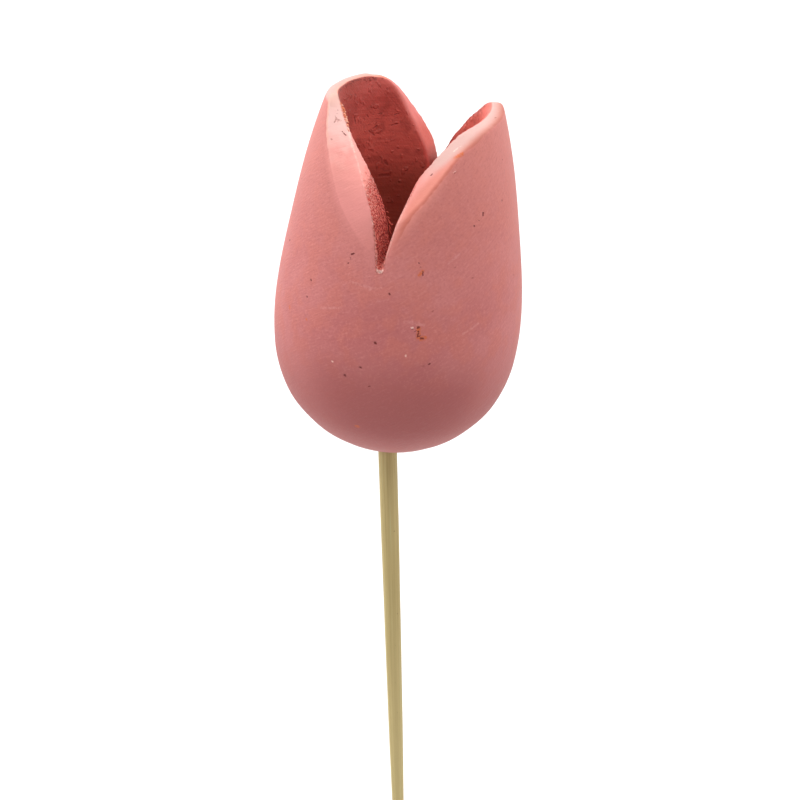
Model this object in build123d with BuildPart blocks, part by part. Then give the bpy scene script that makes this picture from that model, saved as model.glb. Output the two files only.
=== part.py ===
"""Wooden tulip on a bamboo stick, the kind that is pushed into a pot or a bunch.

The head is one turned piece of soft wood, egg shaped outside and bored straight
from the top. One slanting V-shaped pass across the bore opens a notch in the
front wall and a higher one in the back wall, and leaves two petals. The tapered
bamboo stem is glued into a hole through the bottom of the cup.

Millimetres, +Z up along the stem, origin at the tip of the stem. The head leans
a few degrees towards +X, and its deep notch faces -Y.
"""

import os
from math import cos, radians, sin, tan

from build123d import *

os.makedirs("parts", exist_ok=True)

# Stem
stem_out = 140.0            # from the tip up to the bottom of the head
stem_diameter = 3.2         # straight upper stretch
stem_straight = 12.0        # straight stretch below the head
stem_upper_depth = 32.0     # a place along the taper, measured below the head
stem_upper_diameter = 2.9
stem_mid_depth = 72.7       # another, further down
stem_mid_diameter = 2.09
stem_tip_diameter = 0.8
stem_tip_round = 0.3
tenon_diameter = 2.4        # the stem's end is shaved down to fit the hole in the head
shoulder_gap = 0.1          # between the stem's shoulder and the leaning bottom of the head
stem_proud = 0.8            # how far the stem's end stands above the cup's floor
stem_end_chamfer = 0.2

# Head, turned outside
head_lean = 5.75            # degrees, towards +X
head_height = 60.0
head_diameter = 40.4        # at the belly
belly_height = 22.5
lower_height = 5.0          # a place on the round underside
lower_diameter = 25.8
middle_height = 14.0        # a place between that and the belly
middle_diameter = 38.0
upper_height = 42.0         # a place on the slope of the petals
upper_diameter = 36.0
rim_diameter = 27.7
rim_round = 0.8

# Head, bored inside
bore_diameter = 22.4
cup_floor = 14.0            # wood left under the bore
bore_corner = 6.0           # round corner at the floor of the bore

# The pass that cuts both notches
cut_turn = 15.4             # degrees, from straight back towards +X
cut_rise = 9.0              # degrees, rising towards the back
left_angle = 33.0           # degrees, the V's left side from the upright
right_angle = 34.5          # degrees, its right side
notch_depth = 15.1          # from the rim down to where the V's sides would meet, on the axis
notch_offset = 0.6          # that place, to the right of the axis
slot_width = 1.1            # narrow end below the V
slot_offset = 1.05
slot_depth = 4.8            # from there down to the end of the slot
steep_corner = 11.0         # round corner from the slot into the left side
open_corner = 8.0           # the same on the right
shoulder_drop = 0.6         # from the rim down to where the V's sides have turned level
shoulder_round = 4.0        # the round that turns them level
corner_room_share = 0.45    # of the V's side, the most that the round at either end takes
slot_room_share = 0.85      # of the slot's side, the most that the corner takes

# Sanded bevel on the left petal's front edge
bevel_turn = -12.7          # degrees, its face looks this far to the right, so it looks a little left
bevel_rise = 37.9           # degrees, and this far up
bevel_front = 3.0           # where it crosses the outside at the rim, in front of the axis

# Glue joint
glue_line = 0.15            # all round the stem
glue_start = 1.0            # bare wood at the lower end of the hole
glue_bead_width = 1.6       # the bead round the stem's end, on the cup's floor
glue_bead_height = 0.6

overrun = 5.0               # cutters run past the wood by this much

# Radii, and the head's own frame leaning on the stem
stem_radius = stem_diameter / 2
tenon_radius = tenon_diameter / 2
hole_radius = tenon_radius + glue_line
head_radius = head_diameter / 2
bore_radius = bore_diameter / 2
rim_radius = rim_diameter / 2
lean = radians(head_lean)
head = Plane(
    origin=(0, 0, stem_out),
    x_dir=(cos(lean), 0, -sin(lean)),
    z_dir=(sin(lean), 0, cos(lean)),
)
head_axis = Axis(head.origin, head.z_dir)
head_section = Plane(origin=head.origin, x_dir=head.x_dir, z_dir=-head.y_dir)

# The stem crosses the floor of the cup at a slant
floor_along_stem = cup_floor / cos(lean)
stem_end = stem_out + floor_along_stem + stem_proud
shoulder = stem_out - stem_radius * tan(lean) - shoulder_gap
floor_point = (0, 0, stem_out + floor_along_stem)
floor_plane = Plane(origin=floor_point, x_dir=head.x_dir, z_dir=head.z_dir)

# The pass: a plane square to it, which holds the V
across = head.x_dir.rotate(Axis((0, 0, 0), head.z_dir), -cut_turn)
level_pass = head.z_dir.cross(across)
slanting_pass = level_pass.rotate(Axis((0, 0, 0), across), cut_rise)
cut_plane = Plane(origin=head.origin, x_dir=across, z_dir=-slanting_pass)

# The V, the slot below it and the level shoulders above it
notch_height = head_height - notch_depth
shoulder_height = head_height - shoulder_drop
left_slope = tan(radians(left_angle))
right_slope = tan(radians(right_angle))
left_reach = (shoulder_height - notch_height) * left_slope
right_reach = (shoulder_height - notch_height) * right_slope
cut_half_width = head_radius + overrun
cut_top = head_height + head_radius * tan(radians(cut_rise)) + overrun
slot_half = slot_width / 2
slot_left = slot_offset - slot_half
slot_right = slot_offset + slot_half
left_corner = notch_height + abs(notch_offset - slot_left) / left_slope
right_corner = notch_height + abs(slot_right - notch_offset) / right_slope
slot_end = notch_height - slot_depth

# Rounds at the ends of the V's sides leave part of each side straight
side_length = (shoulder_height - right_corner) / cos(radians(left_angle))
corner_room = corner_room_share * side_length
slot_room = slot_room_share * (left_corner - slot_end - slot_half)
least_room = min(corner_room, slot_room)
left_bend = tan(radians(left_angle / 2))
right_bend = tan(radians(right_angle / 2))
shoulder_bend = tan(radians((90 - left_angle) / 2))
steep_radius = min(steep_corner, least_room / left_bend)
open_radius = min(open_corner, least_room / right_bend)
shoulder_radius = min(shoulder_round, corner_room / shoulder_bend)

# The bevel's plane, through the outside of the rim
turn = radians(bevel_turn)
rise = radians(bevel_rise)
bevel_facing = head.x_dir * sin(turn) - head.y_dir * cos(turn)
bevel_normal = bevel_facing * cos(rise) + head.z_dir * sin(rise)
bevel_side = (rim_radius**2 - bevel_front**2) ** 0.5
bevel_from_origin = (
    head.z_dir * head_height
    - head.x_dir * bevel_side
    - head.y_dir * bevel_front
)
bevel_point = head.origin + bevel_from_origin
bevel_along = (across - bevel_normal * across.dot(bevel_normal)).normalized()
bevel_plane = Plane(origin=bevel_point, x_dir=bevel_along, z_dir=bevel_normal)

# It ends over the middle of the slot
bevel_reach = (slot_offset - across.dot(bevel_from_origin)) / across.dot(bevel_along)

# The turned and bored head
with BuildPart() as tulip_head:
    with BuildSketch(head_section) as wall:
        with BuildLine():
            outside = Spline(
                (0, 0),
                (lower_diameter / 2, lower_height),
                (middle_diameter / 2, middle_height),
                (head_radius, belly_height),
                (upper_diameter / 2, upper_height),
                (rim_radius, head_height),
            )
            cup_bottom = Line((0, cup_floor), (bore_radius - bore_corner, cup_floor))
            cup_corner = JernArc(cup_bottom @ 1, cup_bottom % 1, bore_corner, 90)
            Polyline(cup_corner @ 1, (bore_radius, head_height), outside @ 1)
            Line(outside @ 0, cup_bottom @ 0)
        make_face()
        rim_corners = wall.vertices().group_by(Axis.Y)[-1]
        fillet(rim_corners, rim_round)
    revolve(axis=head_axis)

    # One pass of the cutter through the front and the back wall
    with BuildSketch(cut_plane):
        with BuildLine():
            left_side = FilletPolyline(
                (slot_left, slot_end + slot_half),
                (slot_left, left_corner),
                (notch_offset - left_reach, shoulder_height),
                (-cut_half_width, shoulder_height),
                radius=[steep_radius, shoulder_radius],
            )
            right_side = FilletPolyline(
                (slot_right, slot_end + slot_half),
                (slot_right, right_corner),
                (notch_offset + right_reach, shoulder_height),
                (cut_half_width, shoulder_height),
                radius=[open_radius, shoulder_radius],
            )
            Polyline(
                left_side @ 1,
                (-cut_half_width, cut_top),
                (cut_half_width, cut_top),
                right_side @ 1,
            )
            ThreePointArc(right_side @ 0, (slot_offset, slot_end), left_side @ 0)
        make_face()
    extrude(amount=head_diameter, both=True, mode=Mode.SUBTRACT)

    # Bevel sanded on the left petal's edge
    with BuildSketch(bevel_plane):
        with Locations((bevel_reach, 0)):
            Rectangle(2 * head_diameter, 2 * head_height, align=(Align.MAX, Align.CENTER))
    extrude(amount=head_diameter, mode=Mode.SUBTRACT)

    # Hole for the stem, on the stem's own axis
    with BuildSketch(Plane.XY.offset(stem_out - overrun)):
        Circle(hole_radius)
    extrude(amount=floor_along_stem + 2 * overrun, mode=Mode.SUBTRACT)

# Stem: a tenon, a straight shank, a long taper, and a blunt point at the bottom
with BuildPart() as stem:
    with BuildSketch(Plane.XZ):
        with BuildLine():
            taper = Spline(
                (stem_tip_diameter / 2, stem_tip_round),
                (stem_mid_diameter / 2, stem_out - stem_mid_depth),
                (stem_upper_diameter / 2, stem_out - stem_upper_depth),
                (stem_radius, stem_out - stem_straight),
                tangents=[
                    (stem_mid_diameter - stem_tip_diameter, 2 * (stem_out - stem_mid_depth)),
                    (0, stem_out),
                ],
            )
            Polyline(
                taper @ 1,
                (stem_radius, shoulder),
                (tenon_radius, shoulder),
                (tenon_radius, stem_end - stem_end_chamfer),
                (tenon_radius - stem_end_chamfer, stem_end),
                (0, stem_end),
                (0, 0),
                (stem_tip_diameter / 2 - stem_tip_round, 0),
                taper @ 0,
            )
        make_face()
    revolve(axis=Axis.Z)

# Glue: a thin sleeve round the tenon, and a bead where it comes up in the cup
with BuildPart() as glue_joint:
    with BuildSketch(Plane.XY.offset(stem_out + glue_start)):
        Circle(hole_radius)
    extrude(amount=floor_along_stem - glue_start)
    with BuildSketch(floor_plane):
        Circle(tenon_radius + glue_bead_width)
    extrude(amount=glue_bead_height, taper=45)
    with BuildSketch(Plane.XY.offset(stem_out)):
        Circle(tenon_radius)
    extrude(amount=floor_along_stem + overrun, mode=Mode.SUBTRACT)

tulip_head.part.label = "tulip_head"
stem.part.label = "stem"
glue_joint.part.label = "glue_joint"

export_step(tulip_head.part, "parts/tulip_head.step")
export_step(stem.part, "parts/stem.step")
export_step(glue_joint.part, "parts/glue_joint.step")

print("overall height", round(tulip_head.part.bounding_box().max.Z, 1))
print("wall at the rim", round(rim_radius - bore_radius, 2))
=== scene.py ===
# %% [markdown]
# # A wooden tulip on a bamboo stick
#
# The flower is one piece of soft wood, turned like an egg and bored from the top.
# One slanting V-shaped pass opens a notch in the front and in the back wall, and
# what stands between them are the petals. It is painted a matte rose, sanded
# paler along the cut edges, and glued on a slim bamboo stick.
#
# The CAD model gives every size. It is loaded first and stays fixed, and the
# pieces made here take the place of its nodes.

# %% Load the fixed frame
from functools import reduce
from math import atan2, cos, hypot, pi, radians, sin, tan

import bpy
import numpy as np
from mathutils import Matrix, Vector
from mathutils.bvhtree import BVHTree


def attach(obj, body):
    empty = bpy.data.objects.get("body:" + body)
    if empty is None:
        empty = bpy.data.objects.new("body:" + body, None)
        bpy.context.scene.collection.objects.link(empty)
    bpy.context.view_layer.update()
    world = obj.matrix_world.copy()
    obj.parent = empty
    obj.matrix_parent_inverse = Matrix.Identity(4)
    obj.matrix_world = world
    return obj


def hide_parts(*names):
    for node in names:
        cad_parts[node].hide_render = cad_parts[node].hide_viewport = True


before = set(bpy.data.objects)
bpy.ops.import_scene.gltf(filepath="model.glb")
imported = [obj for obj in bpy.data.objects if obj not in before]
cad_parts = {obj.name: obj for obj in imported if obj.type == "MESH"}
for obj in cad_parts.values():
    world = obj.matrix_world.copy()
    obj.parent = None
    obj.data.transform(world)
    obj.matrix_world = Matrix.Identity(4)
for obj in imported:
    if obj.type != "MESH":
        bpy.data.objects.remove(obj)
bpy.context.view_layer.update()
MM = 0.001
print("CAD nodes:", sorted(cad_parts))

# %% [markdown]
# ## The camera
#
# A picture taken from 35 cm away looks different from one taken through a long
# lens across the room, even when both fill the frame: near parts grow, far parts
# shrink. So the camera stands where the photographer stood, 24 degrees above the
# level, and is rolled a degree and a half. Turning it in that order, first down,
# then about its own line of sight, is easier to read than one set of angles.

# %% Camera
CAMERA_ELEVATION = 24
CAMERA_DISTANCE = 350 * MM
CAMERA_ROLL = -1.539
CAMERA_AIM = Vector((2.334, 0, 147.8)) * MM
LENS = 94.52
NEAREST_SEEN = 10 * MM

turn_down = Matrix.Rotation(radians(90 - CAMERA_ELEVATION), 4, "X")
roll = Matrix.Rotation(radians(CAMERA_ROLL), 4, "Z")
line_of_sight = turn_down @ Vector((0, 0, -1))
stand = Matrix.Translation(CAMERA_AIM - line_of_sight * CAMERA_DISTANCE)
bpy.ops.object.camera_add()
camera = bpy.context.object
camera.matrix_world = stand @ turn_down @ roll
camera.data.lens = LENS
camera.data.clip_start = NEAREST_SEEN
bpy.context.scene.camera = camera
print("camera at", [round(v, 4) for v in camera.matrix_world.translation])

# %% [markdown]
# ## A line of points to turn
#
# On the lathe a gouge follows an outline while the wood spins. In Blender the
# outline is a chain of vertices: one vertex is extruded from point to point. A
# curve object would also do, but a chain needs no conversion before the Spin
# operator turns it into a surface.

# %% Helpers to select, to chain and to spin
SAME_PLACE = 0.001 * MM


def start_fresh():
    """Leaves edit mode and deselects everything."""
    if bpy.context.object and bpy.context.object.mode != "OBJECT":
        bpy.ops.object.mode_set(mode="OBJECT")
    bpy.ops.object.select_all(action="DESELECT")


def chain(name, points, closed=False):
    """A chain of vertices, extruded from one point to the next."""
    start_fresh()
    bpy.ops.mesh.primitive_plane_add(size=MM)
    piece = bpy.context.object
    piece.name = name
    bpy.ops.object.mode_set(mode="EDIT")
    bpy.ops.mesh.select_mode(type="VERT")
    bpy.ops.mesh.select_all(action="SELECT")
    bpy.ops.mesh.merge(type="CENTER")
    bpy.ops.transform.translate(value=points[0])
    for here, there in zip(points, points[1:]):
        bpy.ops.mesh.extrude_region_move(
            TRANSFORM_OT_translate={"value": Vector(there) - Vector(here)}
        )
    if closed:
        bpy.ops.mesh.select_all(action="SELECT")
        bpy.ops.mesh.edge_face_add()
    bpy.ops.object.mode_set(mode="OBJECT")
    return piece


def tidy_mesh(piece):
    """Merges doubled vertices and turns all faces outwards."""
    bpy.ops.object.mode_set(mode="EDIT")
    bpy.ops.mesh.select_all(action="SELECT")
    bpy.ops.mesh.remove_doubles(threshold=SAME_PLACE)
    bpy.ops.mesh.normals_make_consistent(inside=False)
    bpy.ops.object.mode_set(mode="OBJECT")


def spin_round(piece, steps):
    """Spins a chain all the way round the Z axis."""
    bpy.ops.object.mode_set(mode="EDIT")
    bpy.ops.mesh.select_all(action="SELECT")
    bpy.ops.mesh.spin(steps=steps, angle=2 * pi, center=(0, 0, 0), axis=(0, 0, 1))
    bpy.ops.object.mode_set(mode="OBJECT")
    tidy_mesh(piece)


# %% [markdown]
# ## The turned outside
#
# The outline was measured at eighteen heights. Straight lines between them would
# leave rings on the flower, so the radius at any height comes from a smooth curve
# that passes through every measured place. The head is made upright first, because
# it is turned upright, and leans over only when it is finished.

# %% Outline of the turning
# Each place is a height above the bottom of the head and the radius there.
HEAD_HEIGHT = 60.0
RIM_RADIUS = 13.9
RIM_ROUND = 0.6
INSIDE_RIM = 11.3
OUTLINE = [
    (0.0, 0.0), (0.5, 3.92), (1.0, 5.6), (2.0, 8.03), (3.0, 9.92), (5.0, 12.9),
    (8.7, 16.35), (12.0, 18.2), (16.0, 19.5), (20.5, 20.06), (25.0, 20.14),
    (30.0, 19.77), (35.0, 19.1), (39.5, 18.38), (45.0, 17.46), (50.0, 16.49),
    (55.0, 15.28), (60.0, 13.85),
]


def smooth_through(points, steps):
    """Points on a smooth curve through the given ones."""
    rows = [2 * np.array(points[0]) - np.array(points[1])]
    rows += [np.array(p, float) for p in points]
    rows += [2 * rows[-1] - rows[-2]]
    out = []
    for a, b, c, d in zip(rows, rows[1:], rows[2:], rows[3:]):
        for k in range(steps):
            t = k / steps
            out.append(
                0.5 * (2 * b + (c - a) * t + (2 * a - 5 * b + 4 * c - d) * t * t
                       + (3 * b - a - 3 * c + d) * t ** 3)
            )
    return np.array(out + [rows[-2]])


outline = smooth_through(OUTLINE, 5)
outline[:, 1] = np.maximum(outline[:, 1], 0)
side = [p for p in outline if p[0] < HEAD_HEIGHT - RIM_ROUND]
rim_arc = [
    (HEAD_HEIGHT - RIM_ROUND + RIM_ROUND * sin(a), RIM_RADIUS - RIM_ROUND + RIM_ROUND * cos(a))
    for a in np.linspace(0.2, pi / 2, 6)
]
top = [(HEAD_HEIGHT, INSIDE_RIM), (HEAD_HEIGHT, 0.0)]
half = [Vector((r * MM, 0, z * MM)) for z, r in [*side, *rim_arc, *top]]
half[0] = Vector((0, 0, 0))
head = chain("tulip_head_turned", half)
spin_round(head, 180)
print("turned head:", len(head.data.vertices), "vertices")

# %% The rim isn't quite level
# Its outer edge stands a little higher at the back left.
HIGH_SIDE = radians(122)
RIM_LIFT = 0.42
LIFT_STARTS = 52.0
WALL_STARTS = 11.0
for vertex in head.data.vertices:
    x, y, z = vertex.co / MM
    if z > LIFT_STARTS and hypot(x, y) > WALL_STARTS:
        towards = max(0.0, cos(atan2(y, x) - HIGH_SIDE)) ** 12
        vertex.co.z += RIM_LIFT * towards * (z - LIFT_STARTS) / (HEAD_HEIGHT - LIFT_STARTS) * MM
print("widest radius", round(outline[:, 1].max(), 2), "mm")

# %% [markdown]
# ## The bore, and cutting with Boolean
#
# A bit bores the flower from the top and leaves a round corner at the floor, and
# sandpaper wears its mouth a little wider. The cup could be drawn into the outline
# and spun with it, but a cutter that is subtracted keeps the order of the workshop,
# and every later cut works alike. The cutter's bottom edge is rounded by the Bevel
# operator, and its top is extruded upwards ring by ring, each one wider.

# %% Helpers to cut
def subtract(piece, cutter):
    """Takes the cutter out of the piece and deletes the cutter."""
    start_fresh()
    bpy.context.view_layer.objects.active = piece
    piece.select_set(True)
    cut = piece.modifiers.new("cut", "BOOLEAN")
    cut.operation = "DIFFERENCE"
    cut.solver = "EXACT"
    cut.object = cutter
    bpy.ops.object.modifier_apply(modifier=cut.name)
    bpy.data.objects.remove(cutter)


def apply_place(piece):
    """Moves an object's place, turn and size into its mesh."""
    start_fresh()
    piece.select_set(True)
    bpy.context.view_layer.objects.active = piece
    bpy.ops.object.transform_apply(location=True, rotation=True, scale=True)


def select_edges(piece, wanted):
    """Opens edit mode with only those edges selected whose two ends are wanted."""
    bpy.ops.object.mode_set(mode="EDIT")
    bpy.ops.mesh.select_mode(type="EDGE")
    bpy.ops.mesh.select_all(action="DESELECT")
    bpy.ops.object.mode_set(mode="OBJECT")
    for edge in piece.data.edges:
        edge.select = all(wanted(piece.data.vertices[v].co) for v in edge.vertices)
    bpy.ops.object.mode_set(mode="EDIT")


# %% Bore
# The mouth's places are a height and the radius there.
BORE_RADIUS = 11.2
CUP_FLOOR = 14.0
BORE_CORNER = 6.0
WORN_MOUTH = [(57.0, 11.2), (58.2, 11.4), (59.2, 11.8), (60.2, 12.1), (66.0, 12.3)]
straight_top = WORN_MOUTH[0][0]
start_fresh()
bpy.ops.mesh.primitive_cylinder_add(
    vertices=160, radius=BORE_RADIUS * MM, depth=(straight_top - CUP_FLOOR) * MM,
    location=(0, 0, (straight_top + CUP_FLOOR) / 2 * MM),
)
bore = bpy.context.object
apply_place(bore)
select_edges(bore, lambda place: place.z > (straight_top - 1) * MM)
for (low, narrow), (high, wide) in zip(WORN_MOUTH, WORN_MOUTH[1:]):
    step = (0, 0, (high - low) * MM)
    wider = (wide / narrow, wide / narrow, 1)
    bpy.ops.mesh.extrude_region_move(TRANSFORM_OT_translate={"value": step})
    bpy.ops.transform.resize(value=wider, center_override=(0, 0, high * MM))
bpy.ops.object.mode_set(mode="OBJECT")
select_edges(bore, lambda place: place.z < (CUP_FLOOR + 1) * MM)
bpy.ops.mesh.bevel(offset=BORE_CORNER * MM, segments=10, profile=0.5)
bpy.ops.object.mode_set(mode="OBJECT")
subtract(head, bore)
print("bored head:", len(head.data.polygons), "faces")

# %% [markdown]
# ## The pass that opens the petals
#
# Both notches lie on one pass that runs from front left to back right and rises
# to the back. The cutter is an outline of the V, with the narrow slot at its foot,
# pulled along that pass. A plain extrusion would make the two notches alike, but
# the hand-guided cut wandered a little, so the outline of the front notch changes
# into the one of the back notch on the way. That is a loft: an extrusion whose new
# end is moved, point by point, to its own places.

# %% Helpers to loft
def loft(name, loops):
    """A closed solid through loops of points that all have the same number."""
    piece = chain(name, loops[0], closed=True)
    for here, there in zip(loops, loops[1:]):
        step = there[0] - here[0]
        moved = [place + step for place in here]
        bpy.ops.object.mode_set(mode="EDIT")
        bpy.ops.mesh.extrude_region_move(TRANSFORM_OT_translate={"value": step})
        bpy.ops.object.mode_set(mode="OBJECT")
        for vertex in piece.data.vertices:
            if vertex.select:
                nearest = min(range(len(moved)), key=lambda k: (moved[k] - vertex.co).length)
                vertex.co = there[nearest]
    tidy_mesh(piece)
    return piece


def even_steps(points, count):
    """The same line as this many points, evenly spaced along it."""
    points = smooth_through(points, 6)
    walked = np.concatenate([[0], np.cumsum(np.hypot(*np.diff(points, axis=0).T))])
    stops = np.linspace(0, walked[-1], count)
    return [tuple(float(np.interp(s, walked, line)) for line in points.T) for s in stops]


# %% The V-shaped pass
# Each place is a distance to the right of the pass and a height, and each side of
# the V goes from the slot's foot upwards.
PASS_TURN = 15.4
PASS_RISE = tan(radians(9))
FRONT_LEFT = [
    (0.6, 40.6), (0.55, 41.2), (0.33, 42.6), (-0.02, 44.2), (-0.35, 45.6), (-0.95, 47.6), (-2.2, 49.83),
    (-3.69, 52.13), (-5.58, 54.42), (-7.46, 56.24), (-8.6, 57.64), (-9.3, 59.6), (-9.9, 61.2),
]
BACK_LEFT = [
    (0.5, 40.6), (0.62, 41.3), (0.7, 42.6), (0.48, 43.85), (0.15, 45.0), (-0.27, 46.32), (-0.9, 47.62),
    (-1.64, 49.08), (-2.39, 50.38), (-3.47, 52.2), (-4.19, 53.72), (-4.89, 55.08), (-5.88, 56.83),
    (-6.8, 57.95), (-7.6, 58.5), (-8.6, 58.9), (-9.9, 59.4), (-12.0, 60.6),
]
FRONT_RIGHT = [
    (1.32, 40.6), (1.46, 42.5), (1.7, 43.7), (1.96, 45.0), (2.26, 46.5), (2.7, 48.0), (3.05, 49.3),
    (3.5, 50.7), (4.1, 52.35), (4.9, 53.6), (6.2, 55.4), (7.35, 56.7), (8.25, 57.7), (8.95, 58.35),
    (10.4, 58.95), (11.8, 59.2), (13.2, 59.5), (15.0, 59.8),
]
BACK_RIGHT = [
    (1.35, 40.6), (1.45, 42.5), (1.75, 44.0), (2.3, 45.6), (3.2, 47.4), (3.75, 48.6), (4.4, 50.0),
    (5.6, 51.9), (6.87, 53.91), (8.65, 56.05), (10.07, 57.95), (11.5, 59.1), (13.2, 59.6), (15.0, 59.9),
]
SLOT_FOOT = [(0.66, 40.42), (0.78, 40.22), (0.97, 40.12), (1.15, 40.22), (1.27, 40.42)]
OVER_LEFT = [(-12.5, 90.0)]
OVER_RIGHT = [(34.0, 60.5), (34.0, 90.0)]
FRONT_END, FRONT_WALL, BACK_WALL, BACK_END = -30, -6, 6, 30


def pass_loop(left, right, along):
    """The V's outline as points of the head, this far along the pass."""
    flat = OVER_LEFT + even_steps(left, 30)[::-1] + SLOT_FOOT + even_steps(right, 34) + OVER_RIGHT
    turned = Matrix.Rotation(radians(-PASS_TURN), 3, "Z")
    return [turned @ Vector((u, along, z + PASS_RISE * along)) * MM for u, z in flat]


pass_cutter = loft("pass_cutter", [
    pass_loop(FRONT_LEFT, FRONT_RIGHT, FRONT_END), pass_loop(FRONT_LEFT, FRONT_RIGHT, FRONT_WALL),
    pass_loop(BACK_LEFT, BACK_RIGHT, BACK_WALL), pass_loop(BACK_LEFT, BACK_RIGHT, BACK_END),
])
print("pass cutter:", len(pass_cutter.data.polygons), "faces")

# %% [markdown]
# ## Sanded edges, and the hole
#
# The front edge of each petal was then held against a belt sander. On the left
# petal that left a long twisting strip, and on the right petal a nearly level face
# with a rounded outer edge. The back edges were only rounded a little, outwards.
#
# No flat block can take off a strip that twists, so each cutter is lofted too. At
# each station the table gives where the strip starts on the outside of the flower
# and where it ends at the cut. More stations are put between them on smooth
# curves, so that the strip has no corners, and the cutter goes on from both
# borders into the air.
#
# The hole for the stick is drilled from below at a small slant, because the flower
# leans on its stick. Only its mouth is made, since nobody sees the rest.

# %% Strips sanded on the two petals
# Each station has two or three places, x, y and z on the upright head.
LEFT_STRIP = [
    ((-13.8, 1.5, 61.0), (-11.2, 2.6, 60.5)), ((-13.7, -1.2, 60.5), (-11.2, -0.2, 59.9)),
    ((-13.6, -3.2, 59.7), (-11.1, -2.2, 58.9)),
    ((-13.55, -4.84, 58.2), (-10.6, -3.8, 57.2)), ((-13.5, -6.4, 56.1), (-9.95, -6.1, 55.4)),
    ((-13.08, -8.53, 53.7), (-9.2, -8.6, 53.7)), ((-12.43, -10.37, 51.4), (-8.2, -11.1, 51.6)),
    ((-11.66, -11.96, 49.0), (-7.5, -13.1, 49.7)), ((-10.85, -13.2, 47.0), (-6.8, -14.6, 48.1)),
    ((-9.6, -14.75, 44.7), (-6.15, -15.9, 46.2)), ((-8.0, -16.2, 42.4), (-5.5, -16.95, 44.0)),
    ((-6.3, -17.35, 40.5), (-4.95, -17.6, 41.6)), ((-5.2, -18.3, 38.8), (-4.6, -18.3, 39.2)),
]
RIGHT_STRIP = [
    ((-3.2, -18.9, 36.4), (-3.4, -18.7, 36.4), (-3.6, -18.5, 36.4)),
    ((-2.87, -18.26, 38.9), (-3.1, -18.1, 38.9), (-3.2, -17.9, 38.8)),
    ((-2.17, -17.97, 41.2), (-2.6, -17.65, 41.2), (-2.85, -17.33, 41.2)),
    ((-1.52, -17.78, 42.8), (-2.0, -17.4, 42.9), (-2.36, -16.95, 42.9)),
    ((-0.61, -17.48, 44.8), (-1.3, -17.0, 45.0), (-1.8, -16.3, 45.1)),
    ((0.6, -17.1, 46.9), (-0.33, -15.5, 46.9), (-1.0, -13.6, 46.7)),
    ((1.94, -16.71, 48.4), (0.63, -14.5, 48.5), (-0.27, -12.2, 48.3)),
    ((3.46, -16.01, 50.5), (2.1, -13.95, 50.45), (0.98, -11.16, 50.5)),
    ((4.98, -15.1, 52.5), (3.65, -13.6, 52.15), (2.38, -10.95, 52.45)),
    ((6.11, -14.3, 54.0), (5.2, -13.5, 53.65), (3.65, -10.59, 54.0)),
    ((7.53, -13.1, 55.6), (6.9, -12.8, 55.3), (5.07, -9.99, 55.6)),
    ((9.11, -11.75, 56.5), (8.45, -11.5, 56.55), (6.51, -9.11, 57.05)),
    ((10.54, -9.99, 57.7), (10.0, -9.9, 57.7), (8.18, -7.65, 57.95)),
    ((12.05, -7.73, 58.4), (11.6, -7.6, 58.4), (9.94, -5.16, 58.55)),
    ((13.3, -4.6, 58.8), (12.9, -4.4, 59.1), (11.0, -2.0, 59.25)),
    ((14.0, -0.5, 59.2), (13.4, 0.0, 59.6), (11.2, 1.0, 59.85)),
    ((14.2, 5.0, 60.3), (13.4, 5.0, 60.6), (11.2, 5.0, 60.7)),
]
BACK_LEFT_STRIP = [
    ((-10.2, 9.6, 61.2), (-9.2, 6.8, 60.9)), ((-9.1, 10.2, 60.7), (-8.6, 7.3, 60.35)),
    ((-7.8, 11.1, 60.4), (-7.6, 8.2, 60.3)), ((-6.85, 11.9, 60.0), (-6.4, 9.2, 60.15)),
    ((-5.4, 12.5, 59.75), (-4.98, 10, 59.95)), ((-3.95, 13.4, 59.0), (-4.0, 10.4, 59.4)),
    ((-2.65, 14.1, 58.0), (-2.92, 10.75, 58.3)), ((-1.6, 14.7, 56.95), (-1.81, 11, 56.85)),
    ((-0.6, 15.15, 55.7), (-1.06, 11.15, 55.55)), ((0.5, 15.6, 54.35), (-0.3, 11.2, 54.2)),
    ((1.8, 15.95, 52.7), (0.82, 11.2, 52.5)), ((2.9, 16.2, 51.1), (1.58, 11.1, 50.95)),
    ((4.1, 16.35, 49.4), (2.18, 11, 49.55)), ((4.9, 16.45, 47.9), (2.69, 10.9, 48.2)),
    ((5.75, 16.6, 46.3), (3.1, 10.85, 46.9)), ((6.4, 16.9, 44.6), (3.5, 10.8, 45.7)),
]
BACK_RIGHT_STRIP = [
    ((5.6, 16.8, 45.0), (4.5, 10.3, 46.2)), ((6.35, 16.2, 45.7), (5.2, 9.95, 47.7)),
    ((7.1, 15.55, 47.0), (5.9, 9.55, 49.0)), ((7.75, 15.0, 48.1), (6.35, 9.2, 50.1)),
    ((8.45, 14.25, 49.7), (6.95, 8.8, 51.6)), ((9.6, 12.9, 51.7), (8.05, 7.8, 53.5)),
    ((10.55, 11.5, 53.6), (9.0, 6.7, 55.3)), ((11.6, 9.9, 55.1), (9.7, 5.6, 56.4)),
    ((12.5, 8.2, 56.5), (10.25, 4.55, 57.4)), ((13.2, 5.4, 58.4), (11.0, 2.6, 59.1)),
    ((13.9, 2.4, 59.35), (11.4, 1.0, 59.85)),
    ((14.3, -1.2, 60.2), (11.6, -1.4, 60.7)),
]
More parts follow.
